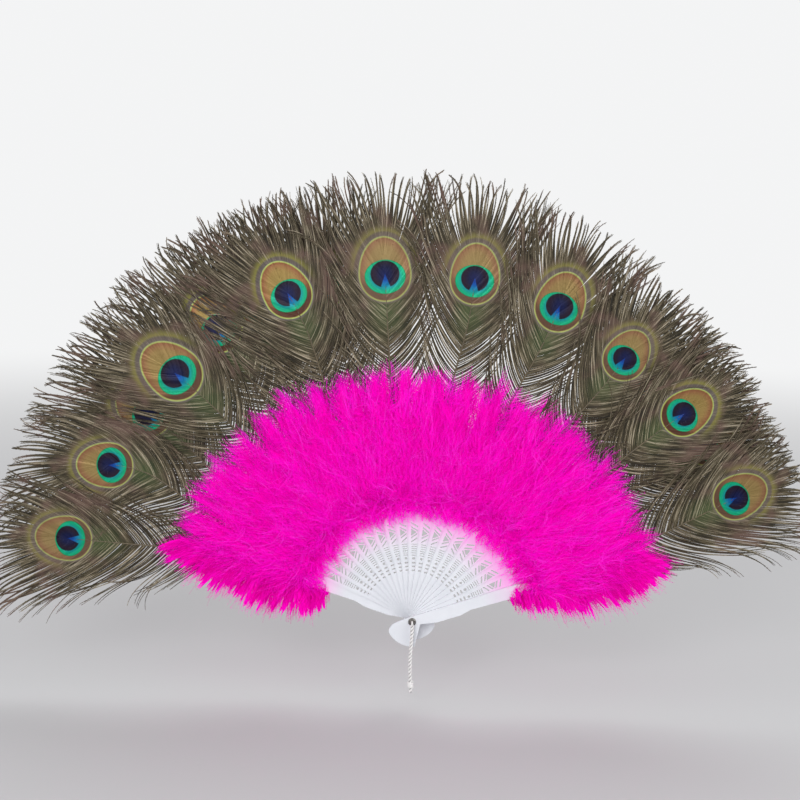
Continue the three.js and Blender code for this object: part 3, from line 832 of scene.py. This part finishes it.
def marabou(stick):
    """All the down on one stick, as one piece."""
    rng = np.random.default_rng(MARABOU_SEED + stick)
    groups, parts = [], []
    for face in (-1, 1):
        for reach, sideways, depth, lock_length in SHAFT_RANKS:
            bulge = depth if face < 0 else depth * BACK_DEPTH
            curve = shaft_curve(rng, stick, reach, face * -sideways, bulge, face)
            parts.append(shaft_core(rng, curve, face))
            groups.append(shaft_locks(rng, stick, curve, lock_length, face))
        for locks in (wisp_locks, fringe_locks, crown_locks):
            groups.append(locks(rng, stick, face))
    for group in groups:
        parts.append(lock_ribbons(rng, *group))
    if stick in DROOPS:
        locks = droop_locks(rng, stick)
        parts.append(lock_ribbons(rng, *locks, shade=DROOP_PAINTED_SHADE))
        parts.extend(droop_cores(rng, locks))
    vertices, faces, uv = gathered(parts)
    limit = np.where(vertices[:, 1] < 0, DOWN_FRONT, DOWN_BACK)
    vertices[:, 1] = limit * np.tanh(vertices[:, 1] / limit)
    piece = mesh_object(f"marabou_down_{stick:02d}", to_fan(vertices, stick), faces, MARABOU, OFBake=uv)
    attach(piece, leaf_body(stick))
    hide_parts(f"marabou_plume_{stick:02d}")


# Peacock eye feathers: a shaft with two ranks of barbs, each barb with fine barbules

PEACOCK_SEED = 700
ARCHES = {  # of the shafts that stand behind their neighbours, or before them
    0: -5 * MM, 2: 8 * MM, 5: 5.7 * MM, 6: 6 * MM, 8: 7 * MM, 16: 7 * MM, 18: 8 * MM,
}
BARB_STEPS = 18
ANGLE_PLACES = (0, 0.35, 0.7, 0.88, 1)  # of the barbs' part of the shaft
START_ANGLES = (62, 55, 50, 36, 0)  # degrees between a barb's root and the shaft
SWEEPS = (34, 34, 29, 18, 0)  # degrees by which it then turns towards the feather's end
LENGTH_PLACES = (0, 0.3, 0.6, 0.85, 1)
BARB_LENGTHS = (66, 112, 142, 138, 125)  # mm
HOLD_PLACES = (0, 0.5, 0.8, 1)
HOLDS = (1.3, 1.9, 3.8, 4.6)  # a barb that holds more strays only nearer its tip
RUN_CLING = np.radians(5)
BARB_CLING = np.radians(2)
RUN_CURL = np.radians(20)
RUN_LIFT = 2.4  # mm
DRAW_PLACES = (0.2, 0.7)
DRAWS = (0.15, 0.7)  # share of the way that a run's barbs draw together
BARBULES = 40
BARBULE_WIDTH = 0.5 * MM
BARBULE_LENGTHS = (1.3, 2.5)  # mm
RUN_SIZES = (2, 5)  # barbs that cling together
TIP_RAGGED = 5 * MM
STRAY_SHARE = 0.06  # of the barbs lies across the others
STRAY_ANGLE = math.radians(26)
STRAYS_BELOW = 0.8  # of the barbs' part of the shaft
SHAFT_BARE = 20 * MM
SHAFT_BELOW_EYE = (0, 15 * MM)
BARBS_ABOVE_EYE = 18 * MM
PITCH_PLACES = np.array([0, 30, 55, 80, 120]) * MM  # below the eye
PITCHES = np.array([0.62, 0.7, 0.92, 1.5, 2.3]) * MM
UNEVEN_PLACES = np.array([15, 50]) * MM  # below the eye
UNEVENNESS = (0.07, 0.3)  # of the pitch
FULL_PLACES = np.array([0, 35, 80, 120]) * MM  # below the eye
FULLNESS = (1.1, 1.06, 1.0, 0.9)  # of the barbs' width and of their side hairs
SHAFT_RADII = (1.2 * MM, 0.35 * MM)
SHAFT_STEPS = 24
SHAFT_SIDES = 8
EYE_HALF_WIDTH = 26 * MM
EYE_ABOVE = 36 * MM
EYE_UNDER = 28 * MM
TIP_DROOP = math.radians(16)


def barb_runs(rng, count):
    """Splits neighbouring barbs into short runs that cling together."""
    ends = np.cumsum(rng.integers(RUN_SIZES[0], RUN_SIZES[1] + 1, count))
    return np.split(np.arange(count), ends[ends < count])


def by_run(rng, runs):
    """One random value per run, for each of its barbs."""
    return np.concatenate([np.full(len(run), rng.normal()) for run in runs])


def barb_roots(reach):
    """Places along the shaft where barbs leave it, closer together towards the eye."""
    roots = [SHAFT_BARE]
    while roots[-1] < reach + BARBS_ABOVE_EYE:
        roots.append(roots[-1] + np.interp(reach - roots[-1], PITCH_PLACES, PITCHES))
    return np.array(roots)


def smooth_step(value, low, high):
    """0 below low, 1 above high, smooth between."""
    share = np.clip((value - low) / (high - low), 0, 1)
    return share ** 2 * (3 - 2 * share)


def vane(rng, roots, reach, side, in_leaf, rim, droop):
    """The barbs of one side in the feather's frame, cut off where in_leaf puts them past the rim."""
    count = len(roots)
    runs = barb_runs(rng, count)
    uneven = np.interp(reach - roots, UNEVEN_PLACES, UNEVENNESS)
    s = roots + uneven * rng.normal(0, 1, count) * np.gradient(roots)
    t = (s - SHAFT_BARE) / (reach + BARBS_ABOVE_EYE - SHAFT_BARE)
    u = np.linspace(0, 1, BARB_STEPS + 1)
    mid = (u[1:] + u[:-1]) / 2
    start = np.radians(np.interp(t, ANGLE_PLACES, START_ANGLES))
    sweep = np.radians(np.interp(t, ANGLE_PLACES, SWEEPS))
    length = np.interp(t, LENGTH_PLACES, BARB_LENGTHS) * MM * rng.uniform(0.86, 1.05, count)
    held = np.interp(t, HOLD_PLACES, HOLDS)[:, None]
    cling = RUN_CLING * by_run(rng, runs) + BARB_CLING * rng.normal(0, 1, count)
    stray = (rng.random(count) < STRAY_SHARE) & (t < STRAYS_BELOW)
    cling += np.where(stray, STRAY_ANGLE * rng.normal(0, 1, count), 0)
    curl = RUN_CURL * by_run(rng, runs)
    angle = (
        start[:, None] - sweep[:, None] * (1 - (1 - mid) ** 2)
        + cling[:, None] * mid ** held + curl[:, None] * mid ** (held + 2)
    )
    angle = side * angle + droop * mid ** 2
    along = xyz(np.sin(angle), 0, np.cos(angle))
    run_out = along.sum(axis=1) / BARB_STEPS
    root = xyz(0, 0, s)
    far = np.linalg.norm(in_leaf(root + run_out * length[:, None]), axis=-1)
    near = np.linalg.norm(in_leaf(root), axis=-1)
    limit = rim + TIP_RAGGED * (0.7 * by_run(rng, runs) - np.abs(rng.normal(0, 1.4, count)) + 1)
    length *= np.clip((limit - near) / (far - near), 0.4, 1)
    steps = np.cumsum(along, axis=1) * (length / BARB_STEPS)[:, None, None]
    points = root[:, None] + np.concatenate([np.zeros((count, 1, 3)), steps], axis=1)
    rise = (points[..., 2] - reach) / np.where(points[..., 2] > reach, EYE_ABOVE, EYE_UNDER)
    outside = smooth_step(np.hypot(points[..., 0] / EYE_HALF_WIDTH, rise), 1.2, 2.0)
    lift = np.clip(by_run(rng, runs), -2, 2)[:, None] * RUN_LIFT * MM * u ** 2
    points[..., 1] = rng.normal(0, 0.3 * MM, (count, 1)) + lift * outside
    loose = smooth_step(u, 0.25, 0.9) * outside
    strength = np.interp(t, DRAW_PLACES, DRAWS)
    for run in runs:
        draw = strength[run][:, None] * loose[run]
        points[run] += (points[run].mean(axis=0) - points[run]) * draw[..., None]
    return points, unit(np.gradient(points, axis=1)), u


def barb_strips(rng, points, along, u, strip, fullness):
    """Ribbons for the barbs; strip gives each barb's own band of the bake map."""
    across = xyz(along[..., 2], 0, -along[..., 0])
    sides = across.copy()
    sides[..., 1] += rng.normal(0, 0.06, (len(points), 1))
    widths = (1.3 - 0.95 * u ** 2.2) * MM * (fullness * rng.uniform(0.88, 1.12, len(points)))[:, None]
    corners, faces = strips(points, unit(sides), widths)
    bake = np.empty(corners.shape[:3] + (2,))
    bake[..., 0] = (0.01 + 0.98 * u)[None, :, None]
    bake[..., 1] = strip[:, None, None] + np.array([-0.35, 0.35]) * (strip[1] - strip[0])
    return corners.reshape(-1, 3), faces, bake.reshape(-1, 2), across


def barbule_strips(rng, points, along, across, strip, fullness):
    """Fine side hairs that give each barb its soft edge."""
    count = len(points)
    station = np.linspace(0.04, 0.97, BARBULES)[None] + rng.normal(0, 0.008, (count, BARBULES))
    station = np.clip(station, 0.01, 0.99)
    base, on = along_lines(points, station)
    hand = np.where(np.arange(BARBULES) % 2, 1, -1)[None, :, None]
    angle = np.radians(rng.uniform(20, 42, (count, BARBULES, 1)))
    heading = along[on] * np.cos(angle) + across[on] * np.sin(angle) * hand
    heading[..., 1] += rng.normal(0, 0.2, (count, BARBULES))
    length = rng.uniform(*BARBULE_LENGTHS, (count, BARBULES)) * MM * (1 - 0.25 * station) * fullness[:, None]
    tips = base + unit(heading) * length[..., None]
    widths = np.full(count * BARBULES, BARBULE_WIDTH)
    corners, faces = hairs(base.reshape(-1, 3), tips.reshape(-1, 3), widths, np.array([0.0, 1.0, 0.0]))
    bake = np.empty((count, BARBULES, 3, 2))
    bake[..., 0] = station[..., None] + np.array([-0.004, -0.004, 0.004])
    bake[..., 1] = strip[:, None, None] + np.array([-0.3, 0.3, 0]) * (strip[1] - strip[0])
    return corners, faces, bake.reshape(-1, 2)


def peacock(stick, lean, eye, size, bend):
    """One eye feather, glued to the end of its stick's finger; its shaft bends on the way to the eye."""
    rng = np.random.default_rng(PEACOCK_SEED + stick)
    eye *= EYE_DISTANCE
    lean, bend = math.radians(lean), math.radians(bend)
    across, outward = eye * math.sin(lean), eye * math.cos(lean) - QUILL_START
    reach = math.hypot(across, outward)
    turn = math.atan2(across, outward)
    arch = ARCHES.get(stick, rng.uniform(-2, 1) * MM)
    roots = barb_roots(reach)
    heart = np.array([0, 0, reach])

    def in_leaf(points):
        bent = turned(points - heart, bend * smooth_step(points[..., 2] / reach, 0.3, 1.1)) + heart
        bent[..., 1] += arch * np.sin(np.clip(points[..., 2] / reach, 0, 1) * math.pi / 2)
        return turned(bent, turn) + np.array([0, 0, QUILL_START])

    def placed(points):
        return to_fan(in_leaf(points), stick)

    parts = []
    fullness = np.interp(reach - roots, FULL_PLACES, FULLNESS)
    for side in (-1, 1):
        droop = TIP_DROOP * math.sin(leaf_turn(stick))
        points, along, u = vane(rng, roots, reach, side, in_leaf, tip_reach(stick), droop)
        strip = (np.arange(len(roots)) + 0.5) / len(roots) / 2 + (0.5 if side > 0 else 0)
        vertices, faces, bake, flat = barb_strips(rng, points, along, u, strip, fullness)
        parts.append((vertices, faces, bake))
        parts.append(barbule_strips(rng, points, along, flat, strip, fullness))
    vertices, faces, bake = gathered(parts)
    plane = np.stack([
        0.5 + vertices[:, 0] / size / PLANE_WIDTH,
        0.5 + (vertices[:, 2] - reach) / size / PLANE_HEIGHT,
    ], axis=-1)
    name = f"{stick:02d}"
    piece = mesh_object(f"peacock_vane_{name}", placed(vertices), faces, PEACOCK, OFBake=bake, plane=plane)
    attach(piece, leaf_body(stick))
    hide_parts(f"peacock_feather_{name}")
    line = np.zeros((SHAFT_STEPS, 3))
    line[:, 2] = np.linspace(0, reach - rng.uniform(*SHAFT_BELOW_EYE), SHAFT_STEPS)
    vertices, faces = tube(placed(line), np.linspace(*SHAFT_RADII, SHAFT_STEPS), SHAFT_SIDES)
    shaft = mesh_object(f"peacock_shaft_{name}", vertices, faces, QUILL)
    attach(shaft, leaf_body(stick))


# The cord: one strand folded over the wire eye and twisted on itself, with a knot near its end

CORD_DIAMETER = 3.4 * MM
CORD_FRONT = -19.5 * MM
CORD_TOP = -0.9 * MM
CORD_STEPS = 260
CORD_DROPS = np.array([0, 8, 17, 27, 37, 47, 56, 64, 70]) * MM
CORD_DRIFTS = np.array([0, 0, -0.3, -0.8, -1.2, -1.1, -0.6, 0, 0.3]) * MM
PLY_RADIUS = CORD_DIAMETER * 0.31
PLY_OFFSET = CORD_DIAMETER * 0.28
PLY_SIDES = 10
TWIST_PITCH = 8 * MM
LOOP_STEPS = 24
LOOP_RISE = 2.6 * MM  # of the bight over the wire eye
KNOT_DROP = 62 * MM
KNOT_TURNS = 3
KNOT_STEPS = 120
KNOT_HEIGHT = 5 * MM
KNOT_RADIUS = 2.2 * MM
KNOT_CORE = 0.9 * MM


def cord_line(drops):
    """Points of the cord's centre line at these distances below its top."""
    return xyz(np.interp(drops, CORD_DROPS, CORD_DRIFTS), CORD_FRONT, CORD_TOP - drops)


def cord():
    """Two plies round each other, the bight over the wire eye, and the turns of the knot, as one piece."""
    drops = np.linspace(0, CORD_DROPS[-1], CORD_STEPS)
    line = cord_line(drops)
    phase = drops / TWIST_PITCH * 2 * math.pi
    parts = []

    def add(path, middle, radius):
        vertices, faces = tube(path, radius, PLY_SIDES)
        ring = np.repeat(np.arange(len(path) + 2), PLY_SIDES)
        outward = np.linalg.norm(vertices - middle[np.clip(ring - 1, 0, len(path) - 1)], axis=-1)
        # the distance from the middle, by which the yarn paints shade in the grooves between the plies
        share = np.clip(outward / (PLY_OFFSET + PLY_RADIUS), 0.05, 0.95)
        parts.append((vertices, faces, np.stack([0.02 + 0.96 * ring / ring[-1], share], axis=-1)))

    for start in (0, math.pi):
        swing = xyz(np.sin(phase + start), np.cos(phase + start), 0)
        add(line + swing * PLY_OFFSET, line, PLY_RADIUS)
    arc = np.linspace(0, math.pi, LOOP_STEPS)
    over = xyz(0, CORD_FRONT + PLY_RADIUS * np.cos(arc) * 1.7, CORD_TOP + LOOP_RISE * np.sin(arc))
    add(over, over + np.array([0, 0, -PLY_OFFSET]), PLY_RADIUS * 0.9)
    wrap = np.linspace(0, 1, KNOT_STEPS)
    knot_line = cord_line(KNOT_DROP + (wrap - 0.5) * KNOT_HEIGHT)
    spin = wrap * KNOT_TURNS * 2 * math.pi
    around = xyz(np.cos(spin), np.sin(spin), 0)
    add(knot_line + around * KNOT_RADIUS, knot_line + around * KNOT_CORE, PLY_RADIUS * 1.05)
    vertices, faces, uv = gathered(parts)
    piece = mesh_object("twisted_cord", vertices, faces, YARN, OFBake=uv)
    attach(piece, "rear_leaf")
    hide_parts("hanging_cord")


# Stage, light and camera

FLOOR_LEVEL = -90 * MM
FLOOR_HALF = 12
VIEW_ELEVATION = math.radians(8)
VIEW_ROLL = math.radians(1.45)
VIEW_DISTANCE = 1.55
FRAME_SPAN = 0.7942
SENSOR = 36
VIEW_CENTRE = Vector((-0.0178, 0, 0.2228))
BACKGROUND = (0.9, 0.905, 0.91, 1)
FLOOR_COLOURS = ((0.42, 0.42, 0.43, 1), (0.46, 0.46, 0.47, 1))
FLOOR_FADE = (0.9, 3.4)  # distances between which the floor turns into the background
WORLD_STRENGTH = 0.72
LIGHTS = (
    # name, place, size, watts
    ("key", (-0.7, -2.9, 1.1), 1.4, 68),
    ("fill", (2.0, -2.0, 1.2), 2.0, 30),
    ("top", (0.2, 1.2, 2.2), 1.6, 22),
)


def stage():
    """A pale floor that fades into the background."""
    corners = [(-1, -1), (1, -1), (1, 1), (-1, 1)]
    vertices = [(x * FLOOR_HALF, y * FLOOR_HALF, FLOOR_LEVEL) for x, y in corners]
    s = Surface("pale_floor", Roughness=0.9)
    place = s.place()
    s.colour(s.mix(s.noise(place, 0.8, 2), *FLOOR_COLOURS))
    far = s.step(s.distance(place), *FLOOR_FADE)
    glow = s.node("ShaderNodeEmission")
    glow.inputs["Color"].default_value = BACKGROUND
    s.show(s.math("MULTIPLY", far, s.seen()), s.shader.outputs[0], glow.outputs[0])
    floor = mesh_object("floor", vertices, [(0, 1, 2, 3)], s.material)


def world():
    """White light from all round, and the plain background for the rays that show it."""
    made = bpy.data.worlds.new("studio")
    nodes = Nodes(made)
    shown = nodes.tree.nodes["Background"]
    shown.inputs["Color"].default_value = BACKGROUND
    lit = nodes.node("ShaderNodeBackground")
    lit.inputs["Color"].default_value = (1, 1, 1, 1)
    lit.inputs["Strength"].default_value = WORLD_STRENGTH
    nodes.show(nodes.seen(), lit.outputs[0], shown.outputs[0], "World Output")
    bpy.context.scene.world = made


def lights():
    """Soft lamps, all turned to the middle of the view."""
    for name, place, size, watts in LIGHTS:
        lamp = bpy.data.lights.new(name, "AREA")
        lamp.size = size
        lamp.energy = watts
        obj = bpy.data.objects.new(name, lamp)
        obj.location = place
        obj.rotation_euler = (VIEW_CENTRE - Vector(place)).to_track_quat("-Z", "Y").to_euler()
        bpy.context.scene.collection.objects.link(obj)


def camera():
    """The photograph's view: a little from above, with a slight roll."""
    lens = bpy.data.cameras.new("camera")
    lens.sensor_width = SENSOR
    lens.lens = SENSOR * VIEW_DISTANCE / FRAME_SPAN
    obj = bpy.data.objects.new("camera", lens)
    back = Vector((0, -math.cos(VIEW_ELEVATION), math.sin(VIEW_ELEVATION)))
    obj.location = VIEW_CENTRE + back * VIEW_DISTANCE
    level = Euler((math.pi / 2 - VIEW_ELEVATION, 0, 0)).to_matrix()
    obj.rotation_euler = (level @ Matrix.Rotation(VIEW_ROLL, 3, "Z")).to_euler()
    bpy.context.scene.collection.objects.link(obj)
    bpy.context.scene.camera = obj


def finish_cad():
    """Gives each solid of the CAD its material."""
    for name, node in frame["nodes"].items():
        material = METAL if name == "pivot_rivet" else PLASTIC
        node.data.materials.clear()
        node.data.materials.append(material)


bpy.context.scene.view_settings.view_transform = "Standard"
camera()
cord()
finish_cad()
for stick in range(LAST_STICK + 1):
    marabou(stick)
for feather in EYE_FEATHERS:
    peacock(*feather)
stage()
world()
lights()
